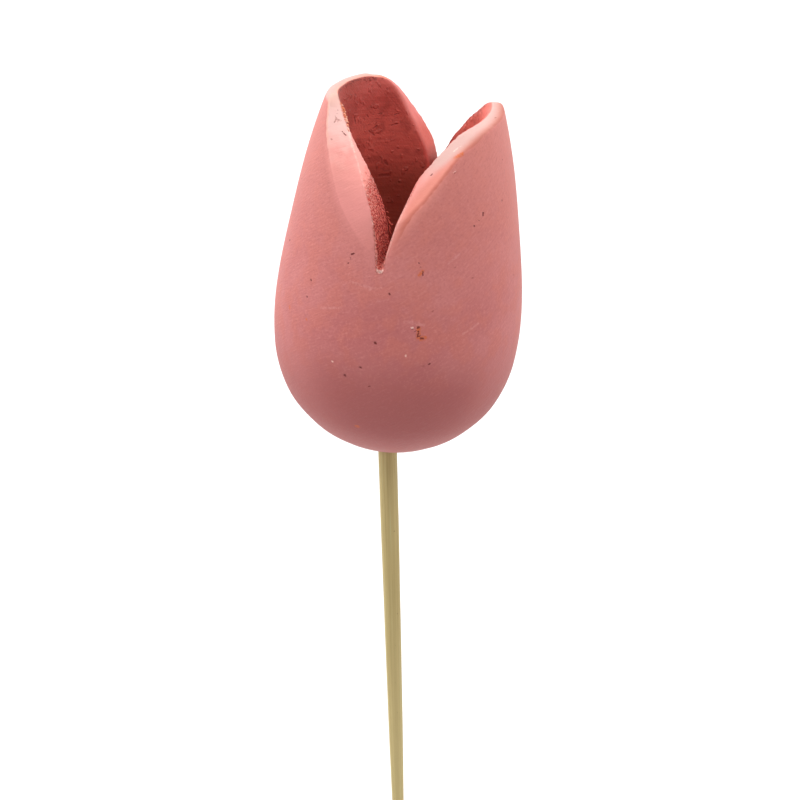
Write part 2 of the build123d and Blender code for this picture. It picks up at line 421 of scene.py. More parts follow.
SANDERS = [
    # name, strip, the way into the air, how far past the skin and past the cut
    ("left_sander", LEFT_STRIP, (-2.4, -9.6, 6.6), 2.0, 2.0),
    ("right_sander", RIGHT_STRIP, (-1.0, -7.5, 6.5), 1.5, 0.4),
    ("back_left_sander", BACK_LEFT_STRIP, (5.0, 4.0, 6.0), 1.5, 0.8),
    ("back_right_sander", BACK_RIGHT_STRIP, (0.0, 7.5, 6.5), 1.5, 0.8),
]
print("stations:", [len(row[1]) for row in SANDERS])


# %% Sanders
def between_stations(stations, steps=4):
    """The same strip with more stations, on smooth curves through the given ones."""
    flat = smooth_through([np.ravel(station) for station in stations], steps)
    return [row.reshape(-1, 3) for row in flat]


def strip_cutter(name, stations, into_air, past_skin, past_cut):
    """A solid whose one side is the sanded strip. It goes on past both borders."""
    loops = []
    for station in between_stations(stations):
        line = [Vector(place) for place in station]
        line[0] = line[0] + (line[0] - line[1]).normalized() * past_skin
        line[-1] = line[-1] + (line[-1] - line[-2]).normalized() * past_cut
        line += [place + Vector(into_air) for place in (line[-1], line[0])]
        loops.append([place * MM for place in line])
    return loft(name, loops)


sanders = [strip_cutter(*row) for row in SANDERS]
print("sanders:", [len(sander.data.polygons) for sander in sanders], "faces")

# %% Remember the pass, then cut
LEAN = radians(5.75)
DRILL_RADIUS = 1.66
DRILL_LENGTH = 12
corners = [v.co / MM for v in pass_cutter.data.vertices]
faces = [tuple(p.vertices) for p in pass_cutter.data.polygons]
cut_surface = BVHTree.FromPolygons(corners, faces)
for cutter in (pass_cutter, *sanders):
    subtract(head, cutter)

start_fresh()
bpy.ops.mesh.primitive_cylinder_add(
    vertices=48, radius=DRILL_RADIUS * MM, depth=DRILL_LENGTH * MM, location=(0, 0, 0)
)
drill = bpy.context.object
drill.data.transform(Matrix.Rotation(-LEAN, 4, "Y"))
subtract(head, drill)
print("cut head:", len(head.data.polygons), "faces")

# %% [markdown]
# ## One even skin
#
# After the cuts the mesh has long slivers, and its edges are razor sharp, which no
# painted wood is. The Remesh modifier in voxel mode wraps it in small even faces,
# and a Smooth modifier then wears every edge down by a few tenths of a millimetre.
# A Bevel modifier on the cut edges would be lighter, but it breaks where two cuts
# meet at a slant. The voxels are as small as a mesh of under 200,000 triangles
# allows.

# %% Remesh and soften
VOXEL = 0.385


def apply_modifier(piece, kind, **settings):
    """Adds a modifier with these settings and applies it."""
    start_fresh()
    bpy.context.view_layer.objects.active = piece
    piece.select_set(True)
    modifier = piece.modifiers.new(kind.lower(), kind)
    for key, value in settings.items():
        setattr(modifier, key, value)
    bpy.ops.object.modifier_apply(modifier=modifier.name)


def shade_softly(piece):
    """Lets the light run smoothly over a piece's faces."""
    for polygon in piece.data.polygons:
        polygon.use_smooth = True


apply_modifier(head, "REMESH", mode="VOXEL", voxel_size=VOXEL * MM)
apply_modifier(head, "SMOOTH", factor=0.5, iterations=5)
shade_softly(head)
print("even skin:", 2 * len(head.data.polygons), "triangles")

# %% [markdown]
# ## Where the wood was cut, sanded and torn
#
# The finish depends on what made each surface: turned outside, bored inside, cut
# face, sanded edge, torn end grain in the slot. Painting these by hand would work
# for one flower only. Instead each vertex stores how far it lies from the cut and
# from each sanded strip, in millimetres, and the material reads those numbers as
# attributes. They change evenly along a surface, so a line drawn by them is far
# sharper than the mesh.

# %% Measure each vertex
count = len(head.data.vertices)
place = np.empty(count * 3)
head.data.vertices.foreach_get("co", place)
place = place.reshape(-1, 3) / MM
turn_cos, turn_sin = cos(radians(PASS_TURN)), sin(radians(PASS_TURN))
across = place[:, 0] * turn_cos - place[:, 1] * turn_sin
along = place[:, 0] * turn_sin + place[:, 1] * turn_cos
pass_height = place[:, 2] - PASS_RISE * along


def ribbon(stations, first, last):
    """A surface between two columns of a strip's table, to measure from."""
    stations = between_stations(stations)
    corners = [Vector(station[k]) for station in stations for k in (first, last)]
    faces = [(2 * k, 2 * k + 1, 2 * k + 3, 2 * k + 2) for k in range(len(stations) - 1)]
    return BVHTree.FromPolygons(corners, faces)


def distances(surface):
    """How far each vertex lies from a surface, in millimetres."""
    return np.array([surface.find_nearest(Vector(p))[3] for p in place])


from_rim = np.maximum(HEAD_HEIGHT - place[:, 2], 0)
radius = np.hypot(place[:, 0], place[:, 1])
from_skin = np.abs(np.interp(place[:, 2], outline[:, 0], outline[:, 1]) - radius)
from_bore = np.abs(radius - BORE_RADIUS)
from_back = [distances(ribbon(strip, 0, 1)) for strip in (BACK_LEFT_STRIP, BACK_RIGHT_STRIP)]
from_cut = distances(cut_surface)
from_left = distances(ribbon(LEFT_STRIP, 0, 1))
from_band = distances(ribbon(RIGHT_STRIP, 0, 1))
from_face = distances(ribbon(RIGHT_STRIP, 1, 2))
print("cut faces:", int((from_cut < 0.3).sum()), "vertices")

# %% Store the measures
# A measure above the farthest is kept as the farthest.
SLOT_MIDDLE = 0.95
FARTHEST = 9


def store(piece, name, values):
    """Keeps one number per vertex as an attribute."""
    numbers = piece.data.attributes.new(name, "FLOAT", "POINT")
    numbers.data.foreach_set("value", np.asarray(values, np.float32))


measures = {
    "from_rim": from_rim,
    "from_skin": from_skin,
    "from_bore": from_bore,
    "from_cut": np.minimum.reduce([from_cut, *from_back]),
    "from_left": from_left,
    "from_right": np.minimum(from_band, from_face),
}
for name, values in measures.items():
    store(head, name, np.clip(values, 0, FARTHEST))
store(head, "over_ridge", np.clip(from_face - from_band, -3, 3))
store(head, "pass_height", pass_height)
store(head, "pass_side", across - SLOT_MIDDLE)
store(head, "pass_along", along)
print("stored:", ", ".join(measures))

# %% [markdown]
# ## Lean the flower over its stick
#
# Only now does the upright head lean towards +X and move up to the end of the
# stick. The turn goes into the mesh, and the object stays at the origin, so that
# a pattern on Object coordinates sits still on it.

# %% Put the head in place
NECK = 140.0
head_place = Matrix.Translation((0, 0, NECK * MM)) @ Matrix.Rotation(LEAN, 4, "Y")
head.data.transform(head_place)
head.name = "painted_head"
head.data.name = "painted_head"
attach(head, "root")
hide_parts("tulip_head")
print("head top", round(max(v.co.z for v in head.data.vertices) / MM, 2), "mm")

# %% [markdown]
# ## Crumbs and torn fibres
#
# The belt pushed crumbs of wood over the edge of the bore, and the saw left torn
# fibres standing in the slot. Hair particles could make such a fringe, but each of
# these can be pointed at. So one small uneven grain is made once, copied, and
# stretched from one place of the edge to another, thick for a crumb and thin for a
# fibre.

# %% Grains on the edges
# Each has its start and its end on the upright head, and half its width.
CRUMBS = [
    ((-11.5, -2.5, 58.6), (-11.2, -2.75, 58.4), 0.16), ((-11.3, -2.9, 58.2), (-10.95, -3.15, 57.95), 0.22),
    ((-11.1, -3.3, 57.8), (-10.75, -3.45, 57.75), 0.17), ((-11.0, -3.6, 57.55), (-10.7, -3.9, 57.3), 0.2),
    ((-10.95, -4.0, 57.2), (-10.5, -4.05, 57.1), 0.16), ((-10.7, -4.3, 56.9), (-10.45, -4.5, 56.75), 0.24),
    ((-10.65, -4.6, 56.7), (-10.2, -4.75, 56.5), 0.15), ((-10.4, -5.0, 56.3), (-10.15, -5.3, 56.05), 0.14),
    ((-10.25, -5.6, 55.8), (-10.05, -6.0, 55.5), 0.1),
]
FIBRES = [
    ((-3.45, -10.58, 44.4), (-3.12, -10.66, 44.3), 0.07),
    ((-3.25, -10.63, 43.6), (-2.85, -10.75, 43.35), 0.07),
    ((-3.2, -10.65, 43.3), (-2.55, -10.8, 42.5), 0.06), ((-3.1, -10.67, 42.9), (-2.45, -10.85, 42.35), 0.06),
    ((-2.62, -10.8, 42.42), (-2.28, -10.9, 42.5), 0.08), ((-2.95, -10.71, 42.3), (-2.5, -10.8, 41.6), 0.06),
    ((-2.85, -10.74, 41.8), (-2.6, -10.8, 41.2), 0.07), ((-2.75, -10.76, 41.3), (-2.4, -10.85, 40.9), 0.06),
]
start_fresh()
bpy.ops.mesh.primitive_ico_sphere_add(subdivisions=2, radius=MM)
grain = bpy.context.object
for vertex in grain.data.vertices:
    x, y, z = vertex.co / MM
    vertex.co *= 1 + 0.14 * sin(4 * x + 2 * z) + 0.12 * cos(5 * y - 3 * x)


def stretch_grain(start, end, half_width):
    """A copy of the grain, stretched from one place to another."""
    start_fresh()
    grain.select_set(True)
    bpy.context.view_layer.objects.active = grain
    bpy.ops.object.duplicate()
    copy = bpy.context.object
    reach = Vector(end) - Vector(start)
    copy.location = (Vector(start) + Vector(end)) / 2 * MM
    copy.rotation_euler = reach.to_track_quat("Z", "Y").to_euler()
    copy.scale = (half_width, half_width, reach.length / 2 + half_width / 2)
    return copy


copies = [stretch_grain(*row) for row in CRUMBS + FIBRES]
bpy.data.objects.remove(grain)
start_fresh()
for copy in copies:
    copy.select_set(True)
bpy.context.view_layer.objects.active = copies[0]
bpy.ops.object.join()
edge_grains = bpy.context.object
apply_place(edge_grains)
shade_softly(edge_grains)
edge_grains.data.transform(head_place)
edge_grains.name = "edge_grains"
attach(edge_grains, "root")
print("crumbs and fibres:", len(copies), "grains,", len(edge_grains.data.polygons), "faces")

# %% [markdown]
# ## The bamboo stick
#
# A split of bamboo shaved almost round: straight below the flower, then thinner
# all the way to a blunt point. Again an outline is spun, with only 28 steps, and
# then the rings are pushed in and out by a few hundredths of a millimetre, which
# gives the faint flats that the shaving blade leaves. The tenon, the thinner end
# inside the flower, is left as it is.

# %% Stick
# Each place is a height above the point and the radius there.
STICK = [
    (0.0, 0.22), (0.12, 0.36), (0.4, 0.41), (4.0, 0.45), (10.0, 0.51), (20.0, 0.6),
    (30.0, 0.69), (40.0, 0.78), (50.0, 0.88), (58.0, 0.96), (67.3, 1.06), (71.5, 1.12),
    (81.2, 1.24), (90.8, 1.335), (100.0, 1.4), (109.3, 1.46), (118.3, 1.52),
    (127.1, 1.57), (135.7, 1.595), (140.6, 1.6),
]
TENON = [(140.6, 1.2), (150.0, 1.2), (154.6, 1.2), (154.8, 1.02), (154.8, 0.0)]
SHAVED_UP_TO = 140.5
stick_line = [(0.0, 0.0), *smooth_through(STICK, 4), *TENON]
stick = chain("bamboo_stick", [Vector((r * MM, 0, z * MM)) for z, r in stick_line])
spin_round(stick, 28)
for vertex in stick.data.vertices:
    x, y, z = vertex.co / MM
    angle = atan2(y, x)
    flat = 0.018 * cos(5 * angle + 0.9) + 0.010 * cos(3 * angle + z / 23)
    flat += 0.006 * sin(z / 3.1 + 2 * angle) + 0.004 * sin(z / 1.3 + 5 * angle)
    radius = hypot(x, y)
    if radius > 0.25 and z < SHAVED_UP_TO:
        shaved = 1 + (flat - 0.012) / max(radius, 0.6)
        vertex.co.x *= shaved
        vertex.co.y *= shaved
shade_softly(stick)
start_fresh()
stick.select_set(True)
bpy.context.view_layer.objects.active = stick
bpy.ops.object.shade_smooth_by_angle(angle=radians(50))
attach(stick, "root")
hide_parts("stem")
print("stick:", len(stick.data.polygons), "faces")

# %% [markdown]
# ## The glue in the cup
#
# Where the stick's end comes up through the floor of the cup sits a small drop of
# dried glue. It is a ring with a drop's outline, spun, then pushed about unevenly
# as a drop spreads on wood.

# %% Drop of glue
# Each place is a radius and a height above the cup's floor.
DROP = [
    (1.05, -0.35), (3.1, -0.35), (3.05, 0.02), (2.75, 0.2), (2.3, 0.42), (1.85, 0.62), (1.45, 0.78),
    (1.05, 0.86), (1.05, -0.35),
]
HELD_BY_STICK = 1.3
floor_along_stick = CUP_FLOOR / cos(LEAN)
drop = chain("glue_drop", [Vector((r * MM, 0, z * MM)) for r, z in DROP])
spin_round(drop, 40)
for vertex in drop.data.vertices:
    x, y, z = vertex.co / MM
    angle = atan2(y, x)
    if hypot(x, y) > HELD_BY_STICK:
        spread = 1 + 0.1 * cos(angle - 0.6) + 0.05 * cos(3 * angle + 1) - 0.12
        vertex.co.x *= spread
        vertex.co.y *= spread
shade_softly(drop)
apply_modifier(drop, "SUBSURF", levels=1, render_levels=1)
on_floor = Matrix.Translation((0, 0, (NECK + floor_along_stick) * MM))
drop.data.transform(on_floor @ Matrix.Rotation(LEAN, 4, "Y"))
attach(drop, "root")
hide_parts("glue_joint")
print("glue drop:", len(drop.data.polygons), "faces")

# %% [markdown]
# ## Wiring materials in code
#
# A material is a small graph of nodes. The Shader editor shows one node tree at a
# time, and the helpers below work in the same way: they all work in the tree that
# is open. They add a node, fill or link its inputs, and give back what it puts
# out, so that a finish reads from top to bottom like a recipe. Coats of colour
# are laid one over another, each where its own mask is 1. Colours are written as
# they look on a screen, from 0 to 255, and turned into the linear values that
# Blender works with.

# %% Helpers for nodes
TO_NUMBER = ("DOT_PRODUCT", "LENGTH", "DISTANCE")


def open_tree(nodes):
    """Opens a node tree for the helpers below."""
    global tree
    tree = nodes


def fresh_nodes(owner):
    """Turns on the nodes of a material or a world, empties them and opens them."""
    owner.use_nodes = True
    owner.node_tree.nodes.clear()
    open_tree(owner.node_tree)


def wire(kind, inputs=(), **settings):
    """Adds a node, and fills or links its inputs."""
    node = tree.nodes.new(kind)
    for key, value in settings.items():
        setattr(node, key, value)
    for key, value in dict(inputs).items():
        if isinstance(value, bpy.types.NodeSocket):
            tree.links.new(value, node.inputs[key])
        else:
            node.inputs[key].default_value = value
    return node


def calculate(operation, *values, **settings):
    """One sum on numbers."""
    return wire("ShaderNodeMath", enumerate(values), operation=operation, **settings).outputs[0]


def on_vectors(operation, *values):
    """One sum on vectors."""
    node = wire("ShaderNodeVectorMath", enumerate(values), operation=operation)
    return node.outputs["Value" if operation in TO_NUMBER else "Vector"]


def times(*values):
    """All values multiplied."""
    return reduce(lambda one, other: calculate("MULTIPLY", one, other), values)


def plus(*values):
    """All values added up."""
    return reduce(lambda one, other: calculate("ADD", one, other), values)


def either(*masks):
    """1 where at least one of the masks is 1."""
    return reduce(lambda one, other: calculate("MAXIMUM", one, other), masks)


def without(mask):
    """1 where the mask is 0, and 0 where it is 1."""
    return calculate("SUBTRACT", 1.0, mask)


def slope(value, low, high, start=0.0, end=1.0):
    """Goes softly from start to end while value goes from low to high."""
    inputs = {"Value": value, "From Min": low, "From Max": high, "To Min": start, "To Max": end}
    return wire("ShaderNodeMapRange", inputs, interpolation_type="SMOOTHSTEP").outputs[0]


def attribute(name):
    """A number stored on the mesh."""
    return wire("ShaderNodeAttribute", attribute_name=name).outputs["Fac"]


# %% Helpers for colours
def paint(tint):
    """A screen colour as the linear colour that Blender uses. A socket stays one."""
    if isinstance(tint, bpy.types.NodeSocket):
        return tint
    linear = []
    for value in tint:
        v = value / 255
        linear.append(v / 12.92 if v <= 0.04045 else ((v + 0.055) / 1.055) ** 2.4)
    return (*linear, 1.0)


def coats(base, *rows):
    """Lays coats over a base. Each is a mask, and the colour it takes where that is 1."""
    for mask, tint in rows:
        inputs = {0: mask, 6: paint(base), 7: paint(tint)}
        base = wire("ShaderNodeMix", inputs, data_type="RGBA").outputs[2]
    return base


# %% Helpers for node groups
def new_group(name, inputs, outputs):
    """Opens a new node group. A number input has its usual value, a vector has none."""
    group = bpy.data.node_groups.new(name, "ShaderNodeTree")
    for label, value in inputs.items():
        kind = "NodeSocketVector" if value is None else "NodeSocketFloat"
        socket = group.interface.new_socket(name=label, in_out="INPUT", socket_type=kind)
        if value is not None:
            socket.default_value = value
    for label, kind in outputs.items():
        group.interface.new_socket(name=label, in_out="OUTPUT", socket_type="NodeSocket" + kind)
    open_tree(group)
    begin = group.nodes.new("NodeGroupInput")
    end = group.nodes.new("NodeGroupOutput")
    return group, begin.outputs, end


def put_out(end, **values):
    """Links what a group puts out. An underscore in a name stands for a space."""
    for key, value in values.items():
        tree.links.new(value, end.inputs[key.replace("_", " ")])
    print("group:", tree.name)


def place_group(group, **inputs):
    """Puts a node group in the open tree."""
    node = tree.nodes.new("ShaderNodeGroup")
    node.node_tree = group
    for key, value in inputs.items():
        if isinstance(value, bpy.types.NodeSocket):
            tree.links.new(value, node.inputs[key])
        else:
            node.inputs[key].default_value = value
    return node.outputs


# %% [markdown]
# ## Unrolling a turned surface
#
# Brush and sandpaper marks run round a turned piece, so a pattern in plain X, Y
# and Z would smear at its sides. This group unrolls the surface like a label from
# a jar: the angle round the axis times a radius gives a length. Unrolled once
# there is a seam at the back, so it is unrolled twice, with the seam on opposite
# sides, and each half uses the label that has no seam there.

# %% Group: unroll
LABELS_APART = 200.0
unroll, begin, end = new_group(
    "unroll",
    {"Vector": None, "Radius": 18.0},
    {"Front Label": "Vector", "Back Label": "Vector", "Back Share": "Float"},
)
xyz = wire("ShaderNodeSeparateXYZ", {0: begin["Vector"]}).outputs
minus_x = times(xyz["X"], -1.0)
minus_y = times(xyz["Y"], -1.0)
front_arc = times(calculate("ARCTAN2", xyz["X"], minus_y), begin["Radius"])
back_arc = times(calculate("ARCTAN2", minus_x, xyz["Y"]), begin["Radius"])
back_arc = plus(back_arc, LABELS_APART)
edge_of_labels = times(begin["Radius"], 0.15)
put_out(
    end,
    Front_Label=wire("ShaderNodeCombineXYZ", {"X": front_arc, "Y": xyz["Z"]}).outputs[0],
    Back_Label=wire("ShaderNodeCombineXYZ", {"X": back_arc, "Y": xyz["Z"]}).outputs[0],
    Back_Share=slope(xyz["Y"], times(edge_of_labels, -1.0), edge_of_labels),
)


def on_both_labels(draw):
    """Draws a pattern on the front and on the back label, and joins the two."""
    labels = place_group(unroll, Vector=begin["Vector"], Radius=begin["Radius"])
    drawn = [draw(labels["Front Label"]), draw(labels["Back Label"])]
    inputs = {0: labels["Back Share"], 2: drawn[0], 3: drawn[1]}
    return wire("ShaderNodeMix", inputs, data_type="FLOAT").outputs[0]


# %% [markdown]
# ## Streaks
#
# Sandpaper leaves short slanting scratches in the paint, and bamboo has long
# upright fibres. Both are the same effect with other numbers: a noise that is
# stretched along one direction of the unrolled surface.

# %% Group: streaks
streaks, begin, end = new_group(
    "streaks",
    {"Vector": None, "Radius": 18.0, "Slant": 0.6, "Length": 4.0, "Width": 0.4, "Detail": 2.0},
    {"Value": "Float"},
)
turn_back = times(begin["Slant"], -1.0)
per_length = calculate("DIVIDE", 1.0, begin["Length"])
per_width = calculate("DIVIDE", 1.0, begin["Width"])
stretch = wire("ShaderNodeCombineXYZ", {"X": per_length, "Y": per_width}).outputs[0]


def stretched_noise(label):
    """A noise drawn out into slanting streaks."""
    turn = {"Vector": label, "Angle": turn_back}
    turned = wire("ShaderNodeVectorRotate", turn, rotation_type="Z_AXIS").outputs[0]
    scaled = on_vectors("MULTIPLY", turned, stretch)
    inputs = {"Vector": scaled, "Scale": 1.0, "Detail": begin["Detail"], "Roughness": 0.55}
    return wire("ShaderNodeTexNoise", inputs, noise_dimensions="2D").outputs[0]


put_out(end, Value=on_both_labels(stretched_noise))

# %% [markdown]
# ## Mottling, strokes and pores
#
# No painted or natural surface has one even colour. Mottling is a soft cloudy
# noise. A stroke is a small soft-edged mark from one place to another, for the
# marks that can be pointed at. Pores are marks of the same size, scattered thinly
# over all the sides that nobody has a close look at: a cell texture puts one point
# in each cell of the unrolled surface, and only some cells keep theirs.

# %% Group: mottling
mottling, begin, end = new_group(
    "mottling",
    {"Vector": None, "Size": 10.0, "Detail": 3.0, "Contrast": 1.0},
    {"Value": "Float"},
)
per_size = calculate("DIVIDE", 1.0, begin["Size"])
inputs = {"Vector": begin["Vector"], "Scale": per_size, "Detail": begin["Detail"], "Roughness": 0.55}
cloud = wire("ShaderNodeTexNoise", inputs).outputs[0]
stronger = times(calculate("SUBTRACT", cloud, 0.5), begin["Contrast"])
put_out(end, Value=plus(stronger, 0.5))

# %% Group: stroke
stroke, begin, end = new_group(
    "stroke",
    {"Vector": None, "Start": None, "End": None, "Width": 0.2},
    {"Mask": "Float"},
)
whole = on_vectors("SUBTRACT", begin["End"], begin["Start"])
part = on_vectors("SUBTRACT", begin["Vector"], begin["Start"])
part_dot = on_vectors("DOT_PRODUCT", part, whole)
whole_dot = on_vectors("DOT_PRODUCT", whole, whole)
share = calculate("DIVIDE", part_dot, whole_dot, use_clamp=True)
foot = on_vectors("MULTIPLY", whole, share)
away = on_vectors("DISTANCE", part, foot)
put_out(end, Mask=slope(calculate("DIVIDE", away, begin["Width"]), 1.25, 0.35))

# %% Group: pores
pores, begin, end = new_group(
    "pores",
    {"Vector": None, "Radius": 18.0, "Spacing": 6.0, "Size": 0.2, "Share": 0.4},
    {"Mask": "Float"},
)
per_cell = calculate("DIVIDE", 1.0, begin["Spacing"])


def scattered_dots(label):
    """A dot in some of the cells, each of its own size."""
    inputs = {"Vector": label, "Scale": per_cell}
    cells = wire("ShaderNodeTexVoronoi", inputs, voronoi_dimensions="2D").outputs
    lot = wire("ShaderNodeSeparateColor", {0: cells["Color"]}).outputs
    reach = times(cells["Distance"], begin["Spacing"])
    size = times(begin["Size"], plus(lot["Green"], 0.5))
    dot = slope(reach, times(size, 1.4), times(size, 0.6))
    return times(dot, calculate("LESS_THAN", lot["Red"], begin["Share"]))


put_out(end, Mask=on_both_labels(scattered_dots))

# %% [markdown]
# ## The painted wood
#
# The material is built up as the painter did it. First the rose paint, mottled
# and slightly warmer at the tips, with painted light and shade: lighter towards
# the top, darker low down and low on the front, and paler at the very bottom as
# painted light from the floor. Then what sanding did: paler on the strips and
# along the rim. Then the inside of the cup, darker and rougher, with painted shade
# deep down and in its top left corner, then the cut faces and the torn end grain
# in the slot, darker and redder deeper in the slot as painted shade and painted
# red light from its walls, and last the pinholes and rust-coloured flecks. One
# painted picture wrapped round the head would be quicker to make, but it would
# fit no other flower. The masks that lay on the colours also raise or dent the
# surface.

# %% Helpers to start and finish a material
def start_material(name, location, rotation):
    """A material whose first node gives millimetres in the piece's own frame."""
    material = bpy.data.materials.new(name)
    fresh_nodes(material)
    where = wire("ShaderNodeTexCoord").outputs["Object"]
    frame_of_piece = {
        "Vector": where, "Location": location, "Rotation": rotation, "Scale": (MM, MM, MM)
    }
    own = wire("ShaderNodeMapping", frame_of_piece, vector_type="TEXTURE").outputs[0]
    return material, own, wire("ShaderNodeSeparateXYZ", {0: own}).outputs


def finish_material(material, piece, base, roughness, height, specular):
    """Ends a material with a bump and the Principled shader, and puts it on its piece."""
    relief = {"Height": height, "Distance": MM, "Strength": 1.0}
    surface = {
        "Base Color": base, "Roughness": roughness, "Specular IOR Level": specular,
        "Normal": wire("ShaderNodeBump", relief).outputs[0],
    }
    shader = wire("ShaderNodeBsdfPrincipled", surface).outputs[0]
    wire("ShaderNodeOutputMaterial", {"Surface": shader})
    piece.data.materials.clear()
    piece.data.materials.append(material)
    print(material.name, "on", piece.name + ":", len(tree.nodes), "nodes")


def pattern(group, **numbers):
    """What a node group draws on the piece in hand."""
    return place_group(group, Vector=own, **numbers)[0]


def by_height(low, high, start=0.0, end=1.0):
    """Goes softly from start to end between two heights on the piece in hand."""
    return slope(axes["Z"], low, high, start, end)


# %% Rose paint: colour before any wear, with painted light and shade
ROSE = (200, 118, 115)
ROSE_DEEP = (190, 105, 103)
ROSE_ORANGE = (202, 112, 100)
ROSE_LOW_SHADE = (176, 98, 95)
ROSE_WARM_AND_LIT = (216, 130, 120)
ROSE_SHADED = (160, 80, 78)
ROSE_FLOOR_LIGHT = (206, 134, 130)
SCRATCHED_PALE = (224, 149, 145)
SCRATCHED_DARK = (170, 86, 85)
rose_paint, own, axes = start_material("rose_paint", (0, 0, NECK * MM), (0, LEAN, 0))
clouds = pattern(mottling, Size=14.0, Detail=3.0, Contrast=2.2)
blush = pattern(mottling, Size=3.6, Detail=2.0, Contrast=2.0)
grit = pattern(mottling, Size=0.42, Detail=3.0, Contrast=1.6)
scratches = pattern(streaks, Radius=18.0, Slant=radians(34), Length=1.6, Width=0.3, Detail=3.0)
# Painted shade: darker low on the front of the head.
low_front_shade = times(slope(axes["Y"], -12.0, -18.0), by_height(26.0, 16.0, 0.0, 0.6))
base = coats(
    ROSE,
    (slope(clouds, 0.2, 0.8), ROSE_DEEP),
    (slope(blush, 0.35, 0.75, 0.0, 0.55), ROSE_ORANGE),
    # Painted shade: darker towards the bottom.
    (by_height(27.0, 11.0, 0.0, 0.9), ROSE_LOW_SHADE),
    # Warmer and lighter towards the top: partly the paint's own tone, partly painted light from above.
    (by_height(22.0, 60.0, 0.0, 0.8), ROSE_WARM_AND_LIT),
    # Painted shade low on the front.
    (low_front_shade, ROSE_SHADED),
    # Painted light from the floor: paler at the very bottom.
    (by_height(9.0, 3.0, 0.0, 0.45), ROSE_FLOOR_LIGHT),
)
sanding = by_height(14.0, 27.0, 0.3, 1.0)
for marks, strength in ((scratches, 0.2), (grit, 0.22)):
    base = coats(
        base,
        (times(slope(marks, 0.52, 0.82, 0.0, strength), sanding), SCRATCHED_PALE),
        (times(slope(marks, 0.48, 0.18, 0.0, strength), sanding), SCRATCHED_DARK),
    )
print("rose paint:", len(tree.nodes), "nodes")

# %% Rose paint: masks from the measures
ragged = calculate("SUBTRACT", pattern(mottling, Size=1.1, Detail=3.0, Contrast=1.0), 0.5)
crumbly = pattern(mottling, Size=0.3, Detail=2.0, Contrast=2.6)


def uneven(value, amount):
    """The same value with a ragged course."""
    return calculate("MULTIPLY_ADD", ragged, amount, value)


def near(measure, far, close):
    """1 close to a surface, 0 from far on, with a slightly ragged border."""
    return slope(uneven(attribute(measure), 0.3), far, close)


def along_edge(one, other, far=0.34, close=0.12):
    """A thin line where two surfaces meet."""
    return slope(uneven(either(attribute(one), attribute(other)), 0.25), far, close)


up_the_cut = attribute("pass_height")
front = slope(attribute("pass_along"), 1.0, -1.0)
on_cut = near("from_cut", 0.45, 0.2)
on_left = near("from_left", 0.4, 0.15)
on_right = near("from_right", 0.34, 0.12)
on_rim = near("from_rim", 1.0, 0.5)
print("masks:", len(tree.nodes), "nodes")

# %% Rose paint: sanded faces and rim
RIM_OUTER = (238, 168, 160)
RIM_INNER = (250, 172, 154)
RIM_ORANGE = (244, 134, 108)
STRIP_TOP = (244, 196, 188)
STRIP_MIDDLE = (239, 154, 145)
STRIP_LOW = (228, 143, 137)
STRIP_TIP = (224, 172, 158)
STRIP_PATCH = (255, 214, 206)
BAND_TOP = (200, 120, 102)
BAND_LOW = (214, 130, 115)
BAND_BORDER = (198, 108, 92)
FACE_TOP = (210, 168, 160)
FACE_LOW = (228, 152, 143)
BESIDE_FACE = (236, 150, 136)
back_rim = times(slope(axes["X"], -8.0, -4.0), slope(axes["X"], 2.0, 0.0))
rim_colour = coats(RIM_OUTER, (near("from_bore", 1.9, 0.9), RIM_INNER), (back_rim, RIM_ORANGE))
patches = times(slope(blush, 0.4, 0.8, 0.0, 0.25), by_height(49.0, 54.0))
strip_colour = coats(
    STRIP_TOP,
    (by_height(57.0, 52.5), STRIP_MIDDLE),
    (by_height(52.0, 46.0), STRIP_LOW),
    (by_height(58.0, 59.5), STRIP_TIP),
    (patches, STRIP_PATCH),
)
band_colour = coats(
    BAND_TOP,
    (by_height(57.0, 53.0), BAND_LOW),
    (near("from_skin", 0.9, 0.1), BAND_BORDER),
)
past_ridge = slope(uneven(attribute("over_ridge"), 0.35), -1.3, 0.8)
face_colour = coats(FACE_TOP, (by_height(54.0, 49.5), FACE_LOW), (past_ridge, band_colour))
strip_share = by_height(40.5, 46.0, 0.35, 1.0)
around_strip = times(near("from_left", 1.7, 0.2), by_height(56.0, 50.0), strip_share)
beside_face = times(
    near("from_right", 1.9, 0.1), by_height(54.0, 49.0), slope(up_the_cut, 43.5, 48.5)
)
base = coats(
    base,
    (times(on_rim, 0.9), rim_colour),
    (times(around_strip, 0.55), strip_colour),
    (times(on_left, strip_share), strip_colour),
    (times(beside_face, 0.5), BESIDE_FACE),
    (times(on_right, slope(up_the_cut, 42.3, 48.0)), face_colour),
)
print("sanded faces:", len(tree.nodes), "nodes")

# %% Rose paint: inside of the cup
CUP_TOP = (186, 77, 68)
CUP_MIDDLE = (210, 102, 90)
CUP_DEEP_SHADE = (152, 68, 52)
CUP_RIGHT = (240, 116, 102)
BIT_MARK_PALE = (228, 120, 106)
BIT_MARK_DARK = (140, 54, 46)
CUP_BLOTCH = (146, 56, 46)
CUP_LEFT_TOP_SHADE = (158, 56, 42)
CUP_LIP = (112, 38, 28)
from_axis = on_vectors("LENGTH", on_vectors("MULTIPLY", own, (1.0, 1.0, 0.0)))
worn = by_height(57.0, 60.2, 0.0, 0.72)
in_the_bore = slope(calculate("SUBTRACT", from_axis, worn), 11.6, 11.36)
inside = times(in_the_bore, by_height(12.5, 13.5))
bit_marks = pattern(streaks, Radius=11.2, Slant=radians(4), Length=3.0, Width=0.5, Detail=3.0)
# Painted shade: darker in the cup's top left corner.
left_top_shade = times(slope(axes["X"], -7.0, -10.5), by_height(55.5, 58.5))
lip = times(slope(uneven(axes["Z"], 1.4), 59.4, 59.7), slope(crumbly, 0.3, 0.6, 0.1, 1.0))
